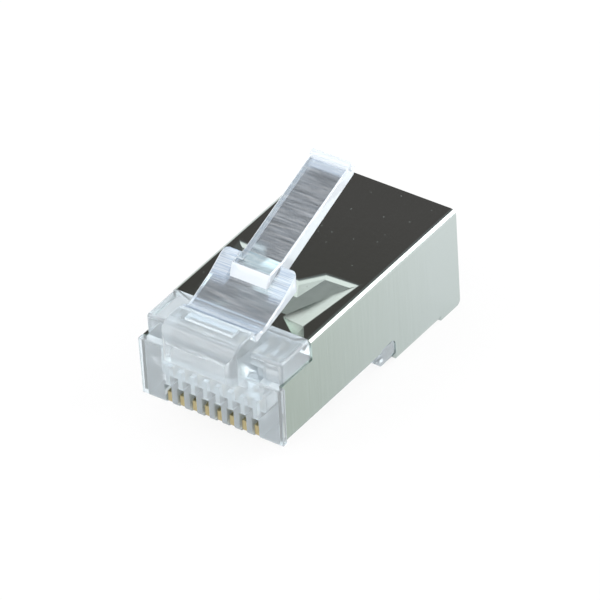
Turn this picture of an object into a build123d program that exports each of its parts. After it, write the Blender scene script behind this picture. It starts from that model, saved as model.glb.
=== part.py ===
from build123d import *
import math
import os

# Shielded 8-position modular plug. X is the width, Y runs from the nose to the cable end, Z is up.
# Sizes are in millimetres. Heights are taken from the underside of the nose and lengths from the
# nose's front face. The finished pieces are then moved so that the origin is at the middle of the
# plug's length, on the surface that it rests on.

# Contacts and their slots
contact_count = 8
contact_pitch = 1.02
blade_thickness = 0.35
blade_front = 0.16
blade_length = 5.9
blade_top = 1.55
blade_proud = 0.04
blade_corner = 0.4
blade_rear_corner = 0.15
blade_step_height = 1.0
blade_step_depth = 0.55
tine_count = 3
tine_width = 0.9
tine_tip = 2.95
tine_point = 0.55
slot_width = 0.57
slot_top = 1.65
slot_end_gap = 0.12
slit_top_gap = 0.1

# Nose and upper block of the housing
nose_overhang = 0.19
nose_draft = 0.09
nose_height = 4.78
nose_plate = 0.45
nose_corner = 0.3
nose_top_corner = 0.15
nose_edge = 0.12
toe_round = 0.4
block_inset = 0.15
block_front = 0.66
block_top = 6.46
block_corner = 0.25
window_width = 0.95
window_front = 0.3
window_depth = 1.05
window_height = 0.82

# Folded shield
shield_half_width = 5.68
sheet = 0.25
fit_gap = 0.03
bend_radius = 0.45
shield_top = 6.47
shield_bottom = -1.4
body_length = 21.04
top_plate_front = 3.93
side_plate_top = 4.84
side_plate_bottom = 0.41
notch_front = 11.7
notch_rear = 13.35
notch_top = 0.6
notch_round = 0.5
notch_front_round = 0.12
flap_rear = 18.7
flap_seam = 0.3
side_corner = 0.4

# Pressed recess in the shield's top plate. Places are given in plan for the right half, and its
# outer corners are set in from the side of the shield.
recess_back_inset = 0.73
recess_front_inset = 1.33
recess_mouth_inset = 0.58
recess_back_corner = (shield_half_width - recess_back_inset, 10.6)
recess_side_front = (shield_half_width - recess_front_inset, 4.95)
recess_mouth_front = (shield_half_width - recess_mouth_inset, 3.93)
recess_apex = (2.38, 10.45)
recess_step_end = (2.2, 6.6)
tongue_corner = (1.2, 8.9)
recess_drop = 0.87
ramp_slope = 0.19
side_slope = 0.335
step_slope = 1.3
tongue_slope = 0.6
rim_slope = 0.5
rim_drop = 0.1
rim_round = 1.0

# Inside of the housing
front_wall = 0.9
core_front = 0.2
seat_floor = 5.15
seat_knee = 6.4
seat_rear = 11.4
chamber_half_width = 4.25
chamber_floor = 2.1
chamber_roof = 3.6
chamber_corner = 0.25
guide_width = 0.2
guide_height = 0.45
guide_lead = 0.42
cavity_half_width = 3.75
cavity_floor = -0.55
cavity_roof = 4.9
cavity_front = 13.2
cavity_corner = 0.8
rear_inset = 0.2
step_front = 11.8
step_corner = 0.35
pad_gap = 0.12
pad_inset = 0.05
pad_root = 0.5

# Wire clamp bar in the underside
clamp_lead = 1.12
clamp_length = 2.3
clamp_half_width = 3.6
clamp_gap = 0.5
clamp_end_gap = 0.15
clamp_web = 0.35
clamp_web_height = 0.85
clamp_recess = 0.15

# Root block of the latch
root_half_width = 3.05
root_overhang = 1.35
root_top = 7.8
root_round = 1.4
root_plan_round = 0.7
root_under_round = 0.25
root_rear = 1.3
root_rear_round = 0.1
root_side_round = 0.15
saddle_length = 0.45
pocket_half_width = 1.94
pocket_front = 0.27
pocket_length = 0.73
pocket_depth = 0.45

# Latch lever
hinge_y = 1.62
hinge_z = 7.25
hinge_radius = 0.3
hinge_gap = 0.08
neck_half = 0.27
plate_start_y = 2.2
plate_start_z = 7.35
crease_y = 4.6
crease_z = 8.3
shoulder_y = 6.5
shoulder_z = 9.42
shoulder_bottom = 8.1
shoulder_under_round = 0.3
shoulder_plan_round = 0.5
under_y = 2.9
under_z = 7.12
lever_half_width = 1.58
step_foot_y = 4.85
step_y = 5.3
step_z = 9.42
step_round = 0.25
arm_foot_z = 8.4
arm_root_z = 8.1
arm_heel_y = 6.1
arm_heel_z = 8.0
lever_edge = 0.1
plateau_y = 6.7
plateau_z = 9.53
lever_end_y = 14.5
lever_end_z = 12.28
ridge_y = 15.0
ridge_z = 12.5
tip_y = 15.45
tip_z = 11.75
tip_under_y = 15.2
tip_under_z = 11.45
ridge_round = 0.2
lip_half_width = 1.7
lip_y = 15.0
lip_z = 12.28
lip_radius = 0.32
lip_edge = 0.1

# Values worked out from the sizes above
core_inset = sheet + fit_gap
core_half_width = shield_half_width - core_inset
core_bottom = shield_bottom + core_inset
core_rear = body_length - rear_inset
nose_half_width = shield_half_width + nose_overhang
block_half_width = shield_half_width - block_inset
slot_end = blade_front + blade_length + slot_end_gap
guide_start = slot_end + guide_lead
clamp_front = slot_end + clamp_lead
chamber_end = clamp_front + clamp_length
contact_xs = [(i - (contact_count - 1) / 2) * contact_pitch for i in range(contact_count)]
seat = Pos(0, (root_overhang - body_length) / 2, -shield_bottom)
clear = 1.0


def block(x0, x1, y0, y1, z0, z1):
    """A plain block between two corners."""
    return Pos((x0 + x1) / 2, (y0 + y1) / 2, (z0 + z1) / 2) * Box(x1 - x0, y1 - y0, z1 - z0)


def both_sides(shape):
    """A shape on the right and its mirror image on the left."""
    return shape + mirror(shape, about=Plane.YZ)


def face_of(corners):
    """A flat face from its corners, each given as two places and, where it is rounded, a radius."""
    face = make_face(Polyline(*[corner[:2] for corner in corners], close=True))
    for corner in corners:
        if len(corner) == 3:
            place = Vector(corner[0], corner[1], 0)
            face = fillet(face.vertices().sort_by_distance(place)[0], corner[2])
    return face


def across(corners, half_width):
    """A side outline in Y and Z, carried across the width."""
    plane = Plane(origin=(0, 0, 0), x_dir=(0, 1, 0), z_dir=(1, 0, 0))
    return extrude(plane * face_of(corners), amount=half_width, both=True)


def along(section, y0, y1):
    """A section in X and Z, carried along the plug from y0 to y1."""
    plane = Plane(origin=(0, y0, 0), x_dir=(1, 0, 0), z_dir=(0, -1, 0))
    return extrude(plane * section, amount=-(y1 - y0))


def upright(section, z0, z1):
    """A plan outline in X and Y, carried up from z0 to z1."""
    return extrude(Pos(0, 0, z0) * section, amount=z1 - z0)


def over_slope(start, end, slope, depth):
    """The space over a slope that falls away on the left of a line on the top plate."""
    run = Vector(end[0] - start[0], end[1] - start[1], 0).normalized()
    height = shield_top - depth * math.hypot(1, slope)
    plane = Plane(
        origin=(start[0], start[1], height), x_dir=run, z_dir=(-slope * run.Y, slope * run.X, 1)
    )
    return plane * Pos(0, 0, body_length) * Box(4 * body_length, 4 * body_length, 2 * body_length)


def recess(depth):
    """The space over the pressed recess, lowered by depth to give the underside of the sheet."""
    reach = shield_half_width + clear
    low = shield_top - recess_drop - depth
    half = block(0, reach, top_plate_front - clear, body_length, low, shield_top + clear)
    half &= over_slope(recess_back_corner, recess_apex, rim_slope, depth)
    half &= over_slope(recess_back_corner, recess_apex, ramp_slope, depth + rim_drop)
    wall = over_slope(recess_side_front, recess_back_corner, side_slope, depth)
    step = over_slope(recess_side_front, recess_step_end, step_slope, depth)
    step &= over_slope(recess_mouth_front, recess_side_front, step_slope, depth)
    middle = (0, tongue_corner[1])
    round_tongue = over_slope(recess_apex, tongue_corner, tongue_slope, depth)
    round_tongue += over_slope(tongue_corner, middle, tongue_slope, depth)
    return both_sides(half & (wall + step) & round_tongue)


def shield_section(inset, folded):
    """Section of the shield drawn in by inset, with its underside folded in or straight down."""
    middle = (shield_top + shield_bottom) / 2
    width = 2 * (shield_half_width - inset)
    height = shield_top - shield_bottom - 2 * inset
    section = Pos(0, middle) * RectangleRounded(width, height, bend_radius - inset)
    if not folded:
        skirt = shield_bottom - clear
        section += Pos(0, (middle + skirt) / 2) * Rectangle(width, middle - skirt)
    return section


def make_shield():
    """One sheet folded over the housing: top, sides, pressed recess and two flaps underneath."""
    outline = across(
        [
            (nose_plate, side_plate_bottom),
            (notch_front, side_plate_bottom),
            (notch_front, notch_top, notch_front_round),
            (notch_rear, notch_top, notch_round),
            (notch_rear, shield_bottom, side_corner),
            (body_length, shield_bottom, side_corner),
            (body_length, shield_top + clear),
            (top_plate_front, shield_top + clear),
            (top_plate_front, side_plate_top),
            (nose_plate, side_plate_top),
        ],
        shield_half_width + clear,
    )
    front = nose_plate - clear
    rear = body_length + clear
    outer = along(shield_section(0, False), front, rear) - recess(0)
    corner_x, corner_y = recess_back_corner
    rims = outer.edges().filter_by_position(Axis.Z, shield_top - fit_gap, shield_top + fit_gap)
    rims = rims.filter_by_position(Axis.X, -corner_x, corner_x)
    rims = rims.filter_by_position(Axis.Y, recess_side_front[1], corner_y)
    outer = fillet(rims, rim_round)
    inner = along(shield_section(sheet, False), front, rear) - recess(sheet)
    reach = shield_half_width + clear
    under = block(-reach, reach, front, flap_rear, shield_bottom - clear, cavity_floor)
    seam = block(-flap_seam / 2, flap_seam / 2, front, rear, shield_bottom - clear, cavity_floor)
    flaps = along(shield_section(0, True), front, rear)
    flaps -= along(shield_section(sheet, True), front, rear)
    return (outer - inner - under + (flaps & under) - seam) & outline


def make_root():
    """The block at the front of the top, from which the lever bends back over the plug."""
    outline = across(
        [
            (-root_overhang, nose_height, root_under_round),
            (-root_overhang, root_top, root_round),
            (root_rear, root_top, root_rear_round),
            (root_rear, hinge_z),
            (hinge_y, hinge_z),
            (hinge_y, hinge_z - hinge_radius - hinge_gap),
            (hinge_y + saddle_length, block_top),
            (hinge_y + saddle_length, nose_height),
        ],
        root_half_width,
    )
    plan = face_of(
        [
            (-root_half_width, -root_overhang, root_plan_round),
            (root_half_width, -root_overhang, root_plan_round),
            (root_half_width, top_plate_front),
            (-root_half_width, top_plate_front),
        ]
    )
    outline = fillet(outline.edges().filter_by(Axis.Y).group_by(Axis.Z)[-1], root_side_round)
    root = outline & upright(plan, nose_height - clear, root_top + clear)
    bearing = Pos(0, hinge_y, hinge_z) * Rot(0, 90, 0) * Cylinder(
        hinge_radius + hinge_gap, 2 * (root_half_width + clear)
    )
    pocket = block(
        -pocket_half_width, pocket_half_width,
        pocket_front, pocket_front + pocket_length,
        root_top - pocket_depth, root_top + clear,
    )
    return root - bearing - pocket


def make_cavities():
    """The empty spaces of the housing: wire chamber, funnel, cable cavity, slots and windows."""
    chamber_height = chamber_roof - chamber_floor
    chamber_middle = (chamber_roof + chamber_floor) / 2
    chamber = Pos(0, chamber_middle) * RectangleRounded(
        2 * chamber_half_width, chamber_height, chamber_corner
    )
    cavity_height = cavity_roof - cavity_floor
    cavity_middle = (cavity_roof + cavity_floor) / 2
    cavity = Pos(0, cavity_middle) * RectangleRounded(
        2 * cavity_half_width, cavity_height, cavity_corner
    )
    space = along(chamber, front_wall, chamber_end)
    for left, right in zip(contact_xs, contact_xs[1:]):
        middle = (left + right) / 2
        space -= block(
            middle - guide_width / 2, middle + guide_width / 2,
            guide_start, chamber_end,
            chamber_floor - clear, chamber_floor + guide_height,
        )
    facing = Plane(origin=(0, chamber_end, 0), x_dir=(1, 0, 0), z_dir=(0, -1, 0))
    behind = Plane(origin=(0, cavity_front, 0), x_dir=(1, 0, 0), z_dir=(0, -1, 0))
    space += loft([(facing * chamber).face(), (behind * cavity).face()], ruled=True)
    space += along(cavity, cavity_front, body_length + clear)
    for x in contact_xs:
        space += block(
            x - slot_width / 2, x + slot_width / 2, -clear, slot_end, -clear, slot_top
        )
        space += block(
            x - blade_thickness / 2, x + blade_thickness / 2,
            blade_front, slot_end,
            slot_top - blade_thickness, tine_tip + slit_top_gap,
        )
    window = block(
        root_half_width, root_half_width + window_width,
        window_front, window_front + window_depth,
        chamber_roof - blade_thickness, nose_height + window_height,
    )
    return space + both_sides(window)


def make_clamp():
    """The bar in the underside that is pushed in over the wires when the plug is crimped."""
    rear = clamp_front + clamp_length - clamp_gap
    top = chamber_floor - clamp_recess
    return across(
        [
            (clamp_front - clamp_web, clamp_web_height),
            (clamp_front, clamp_web_height),
            (clamp_front + clamp_web, clamp_recess),
            (rear, clamp_recess, clamp_recess),
            (rear, top, clamp_recess),
            (clamp_front + clamp_web, clamp_web_height + clamp_web),
            (clamp_front - clamp_web, clamp_web_height + clamp_web),
        ],
        clamp_half_width - clamp_end_gap,
    )


def make_housing():
    """The clear moulding: nose, upper block, core, shoulders, latch root and what is cut out."""
    half_low = nose_half_width - nose_draft
    reach = nose_half_width + clear
    nose_face = face_of(
        [
            (-half_low, 0, nose_corner),
            (half_low, 0, nose_corner),
            (nose_half_width, nose_height, nose_top_corner),
            (-nose_half_width, nose_height, nose_top_corner),
        ]
    )
    nose = along(nose_face, 0, nose_plate)
    front_edges = nose.faces().sort_by(Axis.Y)[0].edges()
    nose = fillet(front_edges, nose_edge)
    core_outline = across(
        [
            (core_front, 0),
            (step_front, 0),
            (step_front, core_bottom, step_corner),
            (core_rear, core_bottom),
            (core_rear, shield_top),
            (top_plate_front, shield_top),
            (top_plate_front, nose_height),
            (core_front, nose_height),
        ],
        shield_half_width,
    )
    core = along(shield_section(core_inset, True), 0, core_rear) & core_outline
    core -= across(
        [
            (top_plate_front, seat_floor),
            (seat_knee, seat_floor),
            (seat_rear, shield_top - core_inset),
            (seat_rear, shield_top + clear),
            (top_plate_front, shield_top + clear),
        ],
        reach,
    )
    ledge = side_plate_top + fit_gap
    upper = block(
        -block_half_width, block_half_width, block_front, top_plate_front, ledge, block_top
    )
    upper = fillet(
        upper.edges().filter_by(Axis.Y).group_by(Axis.Z)[-1]
        + upper.edges().filter_by(Axis.X).group_by(Axis.Z)[-1].sort_by(Axis.Y)[:1]
        + upper.edges().filter_by(Axis.Z).group_by(Axis.Y)[0],
        block_corner,
    )
    neck = block(
        -core_half_width, core_half_width, block_front, top_plate_front, chamber_roof, ledge
    )
    shoulder = block(
        core_half_width - pad_root, shield_half_width - pad_inset,
        step_front, notch_rear - pad_gap,
        core_bottom + step_corner, notch_top - pad_gap,
    )
    shoulder = fillet(shoulder.edges().filter_by(Axis.Y).sort_by(Axis.X)[-1], step_corner)
    clamp_window = block(
        -clamp_half_width, clamp_half_width,
        clamp_front, clamp_front + clamp_length,
        -clear, chamber_floor + clamp_recess,
    )
    toe = block(-reach, reach, -clear, toe_round, -clear, toe_round)
    toe -= Pos(0, toe_round, toe_round) * Rot(0, 90, 0) * Cylinder(toe_round, 2 * reach)
    solid = nose + core + upper + neck + both_sides(shoulder) + make_root() - toe
    solid = solid - make_cavities() - clamp_window + make_clamp()
    return solid


def make_contact(x):
    """One blade: its lower front corner makes contact and its tines pierce the wire."""
    rear = blade_front + blade_length
    corners = [
        (blade_front, -blade_proud, blade_corner),
        (rear, -blade_proud, blade_rear_corner),
        (rear, blade_top),
    ]
    set_back = blade_front + blade_step_depth
    pitch = (rear - set_back) / tine_count
    for k in reversed(range(tine_count)):
        middle = set_back + (k + 0.5) * pitch
        corners += [
            (middle + tine_width / 2, blade_top),
            (middle + tine_width / 2, tine_tip - tine_point),
            (middle, tine_tip),
            (middle - tine_width / 2, tine_tip - tine_point),
            (middle - tine_width / 2, blade_top),
        ]
    corners += [
        (set_back, blade_top),
        (set_back, blade_step_height),
        (blade_front, blade_step_height),
    ]
    return Pos(x, 0, 0) * across(corners, blade_thickness / 2)


def make_lever():
    """The springing lever: hinge root, wide plate with two locking shoulders, arm and ridge."""
    plate = across(
        [
            (hinge_y, hinge_z - neck_half),
            (under_y, under_z),
            (shoulder_y, shoulder_bottom, shoulder_under_round),
            (shoulder_y, shoulder_z),
            (crease_y, crease_z),
            (plate_start_y, plate_start_z),
            (hinge_y, hinge_z + neck_half),
        ],
        root_half_width,
    )
    plan = face_of(
        [
            (-root_half_width, hinge_y - clear),
            (root_half_width, hinge_y - clear),
            (root_half_width, shoulder_y, shoulder_plan_round),
            (-root_half_width, shoulder_y, shoulder_plan_round),
        ]
    )
    plate = chamfer(plate.faces().filter_by(Axis.X).edges(), lever_edge)
    plate = plate & upright(plan, hinge_z - clear, shoulder_z + clear)
    barrel = Pos(0, hinge_y, hinge_z) * Rot(0, 90, 0) * Cylinder(hinge_radius, 2 * root_half_width)
    arm = across(
        [
            (step_foot_y, arm_root_z),
            (arm_heel_y, arm_heel_z),
            (tip_under_y, tip_under_z, ridge_round),
            (tip_y, tip_z, ridge_round),
            (ridge_y, ridge_z, ridge_round),
            (lever_end_y, lever_end_z),
            (plateau_y, plateau_z),
            (step_y, step_z, step_round),
            (step_foot_y, arm_foot_z),
        ],
        lever_half_width,
    )
    arm = chamfer(arm.faces().filter_by(Axis.X).edges(), lever_edge)
    lip = Pos(0, lip_y, lip_z) * Rot(0, 90, 0) * Cylinder(lip_radius, 2 * lip_half_width)
    lip = chamfer(lip.edges().filter_by(GeomType.CIRCLE), lip_edge)
    return plate + barrel + arm + lip


pieces = {"housing": make_housing(), "shield": make_shield(), "latch_lever": make_lever()}
for number, place in enumerate(contact_xs, start=1):
    pieces[f"contact_{number}"] = make_contact(place)

os.makedirs("parts", exist_ok=True)
for name, piece in pieces.items():
    export_step(seat * piece, f"parts/{name}.step")
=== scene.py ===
import math
import bpy
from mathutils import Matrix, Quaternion, Vector

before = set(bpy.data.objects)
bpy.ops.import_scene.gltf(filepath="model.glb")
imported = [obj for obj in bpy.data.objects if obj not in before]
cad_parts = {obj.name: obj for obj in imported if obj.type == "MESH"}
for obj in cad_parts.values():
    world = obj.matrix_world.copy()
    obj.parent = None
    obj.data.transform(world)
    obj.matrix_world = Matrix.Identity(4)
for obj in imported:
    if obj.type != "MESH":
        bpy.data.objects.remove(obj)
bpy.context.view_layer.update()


# Shield
# One sheet of brass 0.25 mm thick, pressed, folded round the housing and nickel plated. The rolled
# sheet was polished before it was folded, so its flats mirror the room and carry only fine marks.
def linear(code):
    """An sRGB hex colour as linear red, green, blue and alpha."""
    parts = [int(code[i:i + 2], 16) / 255 for i in (0, 2, 4)]
    return [c / 12.92 if c <= 0.04045 else ((c + 0.055) / 1.055) ** 2.4 for c in parts] + [1.0]


def add(owner, kind, settings=None, links=None, to=None):
    """Adds one node to a material or world and returns it.

    A setting is the value of an input or a property. A link gives the node and output that feed an
    input, and to gives the node and input that the new node's first output feeds. Inputs and
    outputs that share a name go by number.
    """
    tree = owner.node_tree
    node = tree.nodes.new(kind)
    for name, value in (settings or {}).items():
        if isinstance(name, int) or name in node.inputs:
            node.inputs[name].default_value = value
        else:
            setattr(node, name, value)
    for name, (source, output) in (links or {}).items():
        tree.links.new(source.outputs[output], node.inputs[name])
    if to:
        target, socket = to
        tree.links.new(node.outputs[0], target.inputs[socket])
    return node


def new_material(name):
    """A node material, its shader, connected to the output, and its texture coordinates."""
    material = bpy.data.materials.new(name)
    material.use_nodes = True
    material.node_tree.nodes.clear()
    shader = add(material, "ShaderNodeBsdfPrincipled")
    add(material, "ShaderNodeOutputMaterial", {}, {"Surface": (shader, "BSDF")})
    place = add(material, "ShaderNodeTexCoord")
    return material, shader, place


def dress(material, *names):
    """Gives a material to CAD nodes."""
    for name in names:
        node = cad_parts[name]
        node.data.materials.clear()
        node.data.materials.append(material)


nickel, nickel_shader, nickel_place = new_material("bright nickel plate on rolled brass sheet")
nickel_at = add(nickel, "ShaderNodeSeparateXYZ", {}, {"Vector": (nickel_place, "Object")})
# A pattern's scale is the number of its marks in a metre, written here as so many in a millimetre.
per_mm = 1000
# Rolling marks run along the plug. They are drawn 0.25 mm apart and 3 mm long, coarser than real
# ones, which are too fine to show.
rolling = add(nickel, "ShaderNodeMapping", {"Scale": (4 * per_mm, 0.3 * per_mm, 4 * per_mm)},
              {"Vector": (nickel_place, "Object")})
marks = add(nickel, "ShaderNodeTexNoise", {"Scale": 1.0, "Detail": 3.0},
            {"Vector": (rolling, "Vector")})
polish = add(nickel, "ShaderNodeMapRange", {"To Min": 0.09, "To Max": 0.16},
             {"Value": (marks, "Fac")})
# Pressing and folding dulled the sheet up to the first height. Above the second lies the flat top,
# which keeps its polish.
worked_below, flat_above = 0.00772, 0.00786
worked = add(nickel, "ShaderNodeMapRange",
             {"From Min": worked_below, "From Max": flat_above, "To Min": 0.05, "To Max": 0.0},
             {"Value": (nickel_at, "Z")})
add(nickel, "ShaderNodeMath", {"operation": "ADD"},
    {0: (polish, "Result"), 1: (worked, "Result")}, to=(nickel_shader, "Roughness"))
# Specks of dust 0.1 mm across and 0.9 mm apart, which scatter the light. A speck's core and edge
# are given in steps of the pattern.
speck_core, speck_edge = 0.04, 0.07
specks = add(nickel, "ShaderNodeTexVoronoi", {"Scale": 1.1 * per_mm},
             {"Vector": (nickel_place, "Object")})
add(nickel, "ShaderNodeMapRange",
    {"From Min": speck_core, "From Max": speck_edge, "To Min": 0.75, "To Max": 1.0},
    {"Value": (specks, "Distance")}, to=(nickel_shader, "Metallic"))
# The plating is a little uneven, in soft patches of 2 mm.
patches = add(nickel, "ShaderNodeTexNoise", {"Scale": 0.5 * per_mm, "Detail": 2.0},
              {"Vector": (nickel_place, "Object")})
add(nickel, "ShaderNodeBump", {"Strength": 0.08, "Distance": 0.00006},
    {"Height": (patches, "Fac")}, to=(nickel_shader, "Normal"))
# Polishing strokes 0.1 mm apart run across the top and up the sides. A painted shade darkens the
# nickel a little from the cable end to the nose, standing in for the shadowed paper that the metal
# mirrors there.
brushing = add(nickel, "ShaderNodeMapping", {"Scale": (1.5 * per_mm, 9 * per_mm, 0.3 * per_mm)},
               {"Vector": (nickel_place, "Object")})
strokes = add(nickel, "ShaderNodeTexNoise", {"Scale": 1.0, "Detail": 2.0},
              {"Vector": (brushing, "Vector")})
nose_end, cable_end = -0.009, 0.011
stroke_strength = 0.3
# The painted shade runs from 0 at the nose end to 1 at the cable end.
painted_shade_toward_nose = add(nickel, "ShaderNodeMapRange", {"From Min": nose_end, "From Max": cable_end},
                   {"Value": (nickel_at, "Y")})
shade = add(nickel, "ShaderNodeMath", {"operation": "MULTIPLY_ADD", 1: stroke_strength},
            {0: (strokes, "Fac"), 2: (painted_shade_toward_nose, "Result")})
tone = add(nickel, "ShaderNodeValToRGB", {}, {"Fac": (shade, "Value")},
           to=(nickel_shader, "Base Color"))
for stop, position, code in zip(tone.color_ramp.elements, (0.1, 1.0), ("A6B2A9", "C2CCCA")):
    stop.position = position
    stop.color = linear(code)
dress(nickel, "shield")


# Housing
# Clear polycarbonate, injection moulded in one shot. Its skin is glossy with a slight haze, and its
# colour is a faint blue grey where the plastic is thick.
clear, clear_shader, clear_place = new_material("clear moulded polycarbonate")
clear_shader.inputs["Base Color"].default_value = linear("ECF5FA")
clear_shader.inputs["IOR"].default_value = 1.585
clear_shader.inputs["Transmission Weight"].default_value = 0.72
# The mould's steel is polished by hand, which leaves duller patches of about 0.7 mm.
skin = add(clear, "ShaderNodeTexNoise", {"Scale": 1.4 * per_mm, "Detail": 3.0},
           {"Vector": (clear_place, "Object")})
add(clear, "ShaderNodeMapRange",
    {"From Min": 0.35, "From Max": 0.65, "To Min": 0.045, "To Max": 0.075},
    {"Value": (skin, "Fac")}, to=(clear_shader, "Roughness"))
# The plastic shrinks unevenly as it cools, so its faces are wavy, about 1.5 mm from wave to wave.
shrinkage = add(clear, "ShaderNodeTexNoise", {"Scale": 0.65 * per_mm, "Detail": 1.0},
                {"Vector": (clear_place, "Object")})
add(clear, "ShaderNodeBump", {"Strength": 0.5, "Distance": 0.00006},
    {"Height": (shrinkage, "Fac")}, to=(clear_shader, "Normal"))
dress(clear, "housing")
# Light goes through clear plastic, so it darkens nothing under it.
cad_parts["housing"].visible_shadow = False


# Latch lever
# The same shot of polycarbonate, standing up from a thin hinge at the nose. The mould was ground
# crosswise where it shapes the tops of the plate and the arm, and left fine lines on them.
ground, ground_shader, ground_place = new_material("ground clear polycarbonate")
ground_shader.inputs["IOR"].default_value = 1.585
ground_at = add(ground, "ShaderNodeSeparateXYZ", {}, {"Vector": (ground_place, "Object")})
facing = add(ground, "ShaderNodeSeparateXYZ", {}, {"Vector": (ground_place, "Normal")})
# The narrow sides and steps are made less clear than the flats, so that they show white. This is a
# painted glow for the light that runs along inside the plastic and leaves through them. A face
# counts as flat from how far its normal points up or down.
leaning, level_enough = 0.6, 0.8
# The faces with the painted glow still let this much of the light through.
painted_glow_clarity = 0.3
upright = add(ground, "ShaderNodeMath", {"operation": "ABSOLUTE"}, {0: (facing, "Z")})
level = add(ground, "ShaderNodeMapRange", {"From Min": leaning, "From Max": level_enough},
            {"Value": (upright, "Value")})
# The thumb bar at the end of the arm gets the same painted glow all round.
arm_end, bar_start = 0.0046, 0.0048
before_bar = add(ground, "ShaderNodeMapRange",
                 {"From Min": arm_end, "From Max": bar_start, "To Min": 1.0, "To Max": 0.0},
                 {"Value": (ground_at, "Y")})
flat = add(ground, "ShaderNodeMath", {"operation": "MULTIPLY"},
           {0: (level, "Result"), 1: (before_bar, "Result")})
# The two locking shoulders beside the arm are the thickest part, and go this far toward that
# painted glow.
shoulder_painted_glow = 0.6
arm_side, shoulder_side = 0.0016, 0.0018
plate_end, shoulder_start = -0.0054, -0.005
across = add(ground, "ShaderNodeMath", {"operation": "ABSOLUTE"}, {0: (ground_at, "X")})
beside = add(ground, "ShaderNodeMapRange", {"From Min": arm_side, "From Max": shoulder_side},
             {"Value": (across, "Value")})
behind = add(ground, "ShaderNodeMapRange", {"From Min": plate_end, "From Max": shoulder_start},
             {"Value": (ground_at, "Y")})
shoulder = add(ground, "ShaderNodeMath", {"operation": "MULTIPLY"},
               {0: (beside, "Result"), 1: (behind, "Result")})
thin = add(ground, "ShaderNodeMath", {"operation": "MULTIPLY_ADD", 1: -shoulder_painted_glow, 2: 1.0},
           {0: (shoulder, "Value")})
seen_through = add(ground, "ShaderNodeMath", {"operation": "MULTIPLY"},
                   {0: (flat, "Value"), 1: (thin, "Value")})
# Real grinding lines are too fine to show, so they are drawn 0.08 mm apart. In the pattern a line
# is hazy and pale up to the first value, and clear from the second.
line_hazy, line_clear = 0.36, 0.6
grinding = add(ground, "ShaderNodeMapping", {"Scale": (0.4 * per_mm, 12 * per_mm, 12 * per_mm)},
               {"Vector": (ground_place, "Object")})
lines = add(ground, "ShaderNodeTexNoise", {"Scale": 1.0, "Detail": 2.0},
            {"Vector": (grinding, "Vector")})
lined = add(ground, "ShaderNodeMath", {"operation": "MULTIPLY"},
            {0: (flat, "Value"), 1: (lines, "Fac")})
clarity = add(ground, "ShaderNodeMapRange",
              {"From Min": line_hazy, "From Max": line_clear, "To Min": 0.84, "To Max": 1.0},
              {"Value": (lined, "Value")})
add(ground, "ShaderNodeMix", {"A": painted_glow_clarity},
    {"Factor": (seen_through, "Value"), "B": (clarity, "Result")},
    to=(ground_shader, "Transmission Weight"))
tint = add(ground, "ShaderNodeValToRGB", {}, {"Fac": (lined, "Value")},
           to=(ground_shader, "Base Color"))
for stop, position, code in zip(tint.color_ramp.elements, (line_hazy, line_clear),
                                ("EAF1F8", "C3D3E6")):
    stop.position = position
    stop.color = linear(code)
add(ground, "ShaderNodeBump", {"Strength": 0.2, "Distance": 0.00001},
    {"Height": (lined, "Value")}, to=(ground_shader, "Normal"))
# Only the upper faces are ground. The rest is as smooth as the mould.
upper = add(ground, "ShaderNodeMapRange", {"From Min": leaning, "From Max": level_enough},
            {"Value": (facing, "Z")})
add(ground, "ShaderNodeMapRange", {"To Min": 0.04, "To Max": 0.16},
    {"Value": (upper, "Result")}, to=(ground_shader, "Roughness"))
dress(ground, "latch_lever")
# Like the housing it casts no shadow. The shield doesn't mirror it, because the lever's image would
# grey the recess.
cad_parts["latch_lever"].visible_shadow = False
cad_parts["latch_lever"].visible_glossy = False


# Contacts
# Eight blades stamped from bronze strip and pressed into the housing's slots. Their lower edges,
# which meet the jack, are plated with gold, and the rest is left as plain bronze.
gold, gold_shader, gold_place = new_material("gold plated stamped bronze")
gold_shader.inputs["Metallic"].default_value = 1.0
gold_at = add(gold, "ShaderNodeSeparateXYZ", {}, {"Vector": (gold_place, "Object")})
gold_top, bronze_bottom = 0.0024, 0.0027
plating = add(gold, "ShaderNodeMapRange", {"From Min": gold_top, "From Max": bronze_bottom},
              {"Value": (gold_at, "Z")})
plate = add(gold, "ShaderNodeValToRGB", {}, {"Fac": (plating, "Result")},
            to=(gold_shader, "Base Color"))
for stop, code in zip(plate.color_ramp.elements, ("BBAD84", "948C80")):
    stop.color = linear(code)
# The punch left upright streaks down the cut edges, about 0.1 mm apart.
punching = add(gold, "ShaderNodeMapping", {"Scale": (10 * per_mm, 10 * per_mm, 0.6 * per_mm)},
               {"Vector": (gold_place, "Object")})
streaks = add(gold, "ShaderNodeTexNoise", {"Scale": 1.0, "Detail": 1.0},
              {"Vector": (punching, "Vector")})
add(gold, "ShaderNodeMapRange", {"To Min": 0.2, "To Max": 0.36},
    {"Value": (streaks, "Fac")}, to=(gold_shader, "Roughness"))
dress(gold, *[f"contact_{number}" for number in range(1, 9)])


# Floor
# A sheet of matt white paper under the plug. The camera sees it evenly white, with a faint part of
# the plug's soft shadow on it.
floor_size = 1.2
bpy.ops.object.select_all(action="DESELECT")
bpy.ops.mesh.primitive_plane_add(size=floor_size, location=(0, 0, 0))
floor = bpy.context.object
floor.name = "floor"
paper, paper_shader, paper_place = new_material("matt white paper")
paper_shader.inputs["Base Color"].default_value = linear("F4F4F4")
paper_shader.inputs["Roughness"].default_value = 0.9
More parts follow.
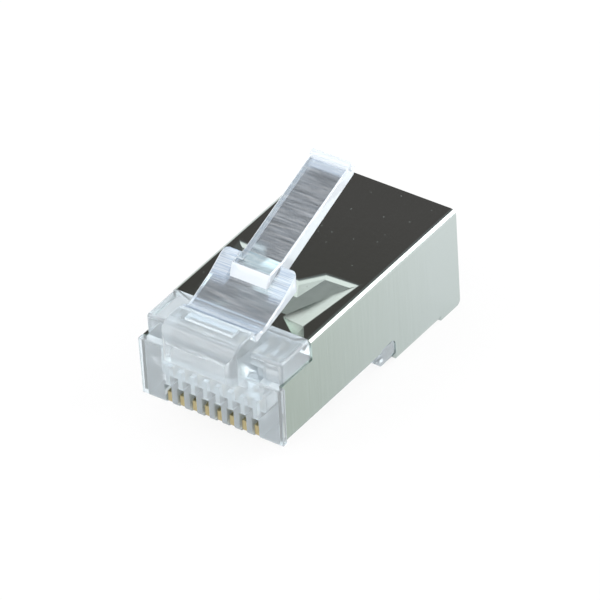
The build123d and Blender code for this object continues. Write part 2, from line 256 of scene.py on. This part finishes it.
# The metal and the clear plastic see a painted glow on the paper. It is white near the plug and dim
# farther out, which gives the plug's edges their darker lines. The metal sees it less than the
# plastic does.
white_within, dim_beyond = 0.04, 0.06
metal_share = 0.65
distance = add(paper, "ShaderNodeVectorMath", {"operation": "LENGTH"}, {0: (paper_place, "Object")})
# The painted glow is full near the plug and fades to 0.15 beyond.
sheet = add(paper, "ShaderNodeMapRange",
            {"From Min": white_within, "From Max": dim_beyond, "To Min": 1.0, "To Max": 0.15},
            {"Value": (distance, "Value")})
rays = add(paper, "ShaderNodeLightPath")
mirrored = add(paper, "ShaderNodeMath", {"operation": "MULTIPLY_ADD", 1: metal_share},
               {0: (rays, "Is Glossy Ray"), 2: (rays, "Is Transmission Ray")})
painted_glow_seen = add(paper, "ShaderNodeMath", {"operation": "MULTIPLY"},
             {0: (mirrored, "Value"), 1: (sheet, "Result")})
seen = add(paper, "ShaderNodeMath", {"operation": "MAXIMUM"},
           {0: (rays, "Is Camera Ray"), 1: (painted_glow_seen, "Value")})
# This much of the white is there in any light, and the rest is lit paper, which shows the shadow.
even_white = 0.88
share = add(paper, "ShaderNodeMath", {"operation": "MULTIPLY", 1: even_white}, {0: (seen, "Value")})
glow = add(paper, "ShaderNodeEmission", {"Color": (1, 1, 1, 1), "Strength": 1.0})
add(paper, "ShaderNodeMixShader", {},
    {"Fac": (share, "Value"), 1: (paper_shader, "BSDF"), 2: (glow, "Emission")},
    to=(paper.node_tree.nodes["Material Output"], "Surface"))
floor.data.materials.append(paper)


# Room
# What the plug mirrors: white walls low down all round, a dark ceiling and one round soft box near
# the zenith. The camera sees plain white instead, and matt surfaces get even light from all round.
world = bpy.data.worlds.new("studio")
bpy.context.scene.world = world
world.use_nodes = True
world.node_tree.nodes.clear()
room_place = add(world, "ShaderNodeTexCoord")
room_axes = add(world, "ShaderNodeSeparateXYZ", {}, {"Vector": (room_place, "Generated")})
height = add(world, "ShaderNodeMapRange", {"From Min": -1.0, "From Max": 1.0},
             {"Value": (room_axes, "Z")})
bands = add(world, "ShaderNodeValToRGB", {}, {"Fac": (height, "Result")})
# Each stop is a height, from -1 straight down to 1 straight up, and the light that comes from it.
wall, ceiling = (1.4, 1.4, 1.4), (0.109, 0.096, 0.093)
stops = [(-0.12, (0.9, 0.9, 0.9)), (-0.08, (0.3, 0.3, 0.3)), (0.03, (0.15, 0.15, 0.15)),
         (0.08, wall), (0.25, wall), (0.38, ceiling), (0.7, ceiling), (0.8, (0.27, 0.28, 0.29))]
ramp = bands.color_ramp.elements
while len(ramp) < len(stops):
    ramp.new(0.5)
for element, (stop_height, light) in zip(ramp, stops):
    element.position = (stop_height + 1) / 2
    element.color = (*light, 1)
# The soft box is a round patch about this direction, and its edge fades between two cosines of the
# angle from it.
box_direction = Vector((-0.2, -0.1, 0.97)).normalized()
box_outside, box_inside = 0.838, 0.885
overhead = add(world, "ShaderNodeVectorMath", {"operation": "DOT_PRODUCT", 1: box_direction},
               {0: (room_place, "Generated")})
box_edge = add(world, "ShaderNodeMapRange", {"From Min": box_outside, "From Max": box_inside},
               {"Value": (overhead, "Value")})
room = add(world, "ShaderNodeMix", {"data_type": "RGBA", 7: (1.5, 1.5, 1.5, 1)},
           {"Factor": (box_edge, "Result"), 6: (bands, "Color")})
mirror = add(world, "ShaderNodeBackground", {"Strength": 1.0}, {"Color": (room, 2)})
plain = add(world, "ShaderNodeBackground", {"Color": (1, 1, 1, 1), "Strength": 0.95})
white = add(world, "ShaderNodeBackground", {"Color": (1, 1, 1, 1), "Strength": 1.0})
room_rays = add(world, "ShaderNodeLightPath")
soft = add(world, "ShaderNodeMixShader", {},
           {0: (room_rays, "Is Diffuse Ray"), 1: (mirror, "Background"), 2: (plain, "Background")})
seen_room = add(world, "ShaderNodeMixShader", {},
                {0: (room_rays, "Is Camera Ray"), 1: (soft, "Shader"), 2: (white, "Background")})
add(world, "ShaderNodeOutputWorld", {}, {"Surface": (seen_room, "Shader")})


# Lamps
# Two large soft boxes, one behind on the right that draws the bright line along the shield's bend,
# and one in front on the left.
def soft_box(name, place, size, power):
    """A square area lamp at a place, aimed at the middle of the plug."""
    lamp_data = bpy.data.lights.new(name, "AREA")
    lamp_data.shape = "SQUARE"
    lamp_data.size = size
    lamp_data.energy = power
    lamp = bpy.data.objects.new(name, lamp_data)
    bpy.context.scene.collection.objects.link(lamp)
    plug_middle = Vector((0, 0, 0.005))
    lamp.location = place
    lamp.rotation_mode = "QUATERNION"
    lamp.rotation_quaternion = (plug_middle - Vector(place)).to_track_quat("-Z", "Y")


soft_box("soft box back right", (0.26, 0.28, 0.2), 0.3, 1.0)
soft_box("soft box front left", (-0.3, -0.3, 0.3), 0.3, 0.8)


# Camera
# A long lens from the front right, as the photograph was taken, with a slight roll. Its place and
# angles were fitted to the plug's edges and corners.
camera_data = bpy.data.cameras.new("camera")
camera = bpy.data.objects.new("camera", camera_data)
bpy.context.scene.collection.objects.link(camera)
bpy.context.scene.camera = camera
azimuth, elevation, roll = math.radians(37.12), math.radians(36.75), math.radians(-3.53)
back = Vector((math.sin(azimuth) * math.cos(elevation), -math.cos(azimuth) * math.cos(elevation),
               math.sin(elevation)))
camera.location = (0.26059, -0.343675, 0.32727)
camera.rotation_mode = "QUATERNION"
camera.rotation_quaternion = (-back).to_track_quat("-Z", "Y") @ Quaternion((0, 0, 1), roll)
camera_data.sensor_width = 36
camera_data.lens = 480
camera_data.clip_start = 0.01
camera_data.clip_end = 5

bpy.context.scene.view_settings.view_transform = "Standard"
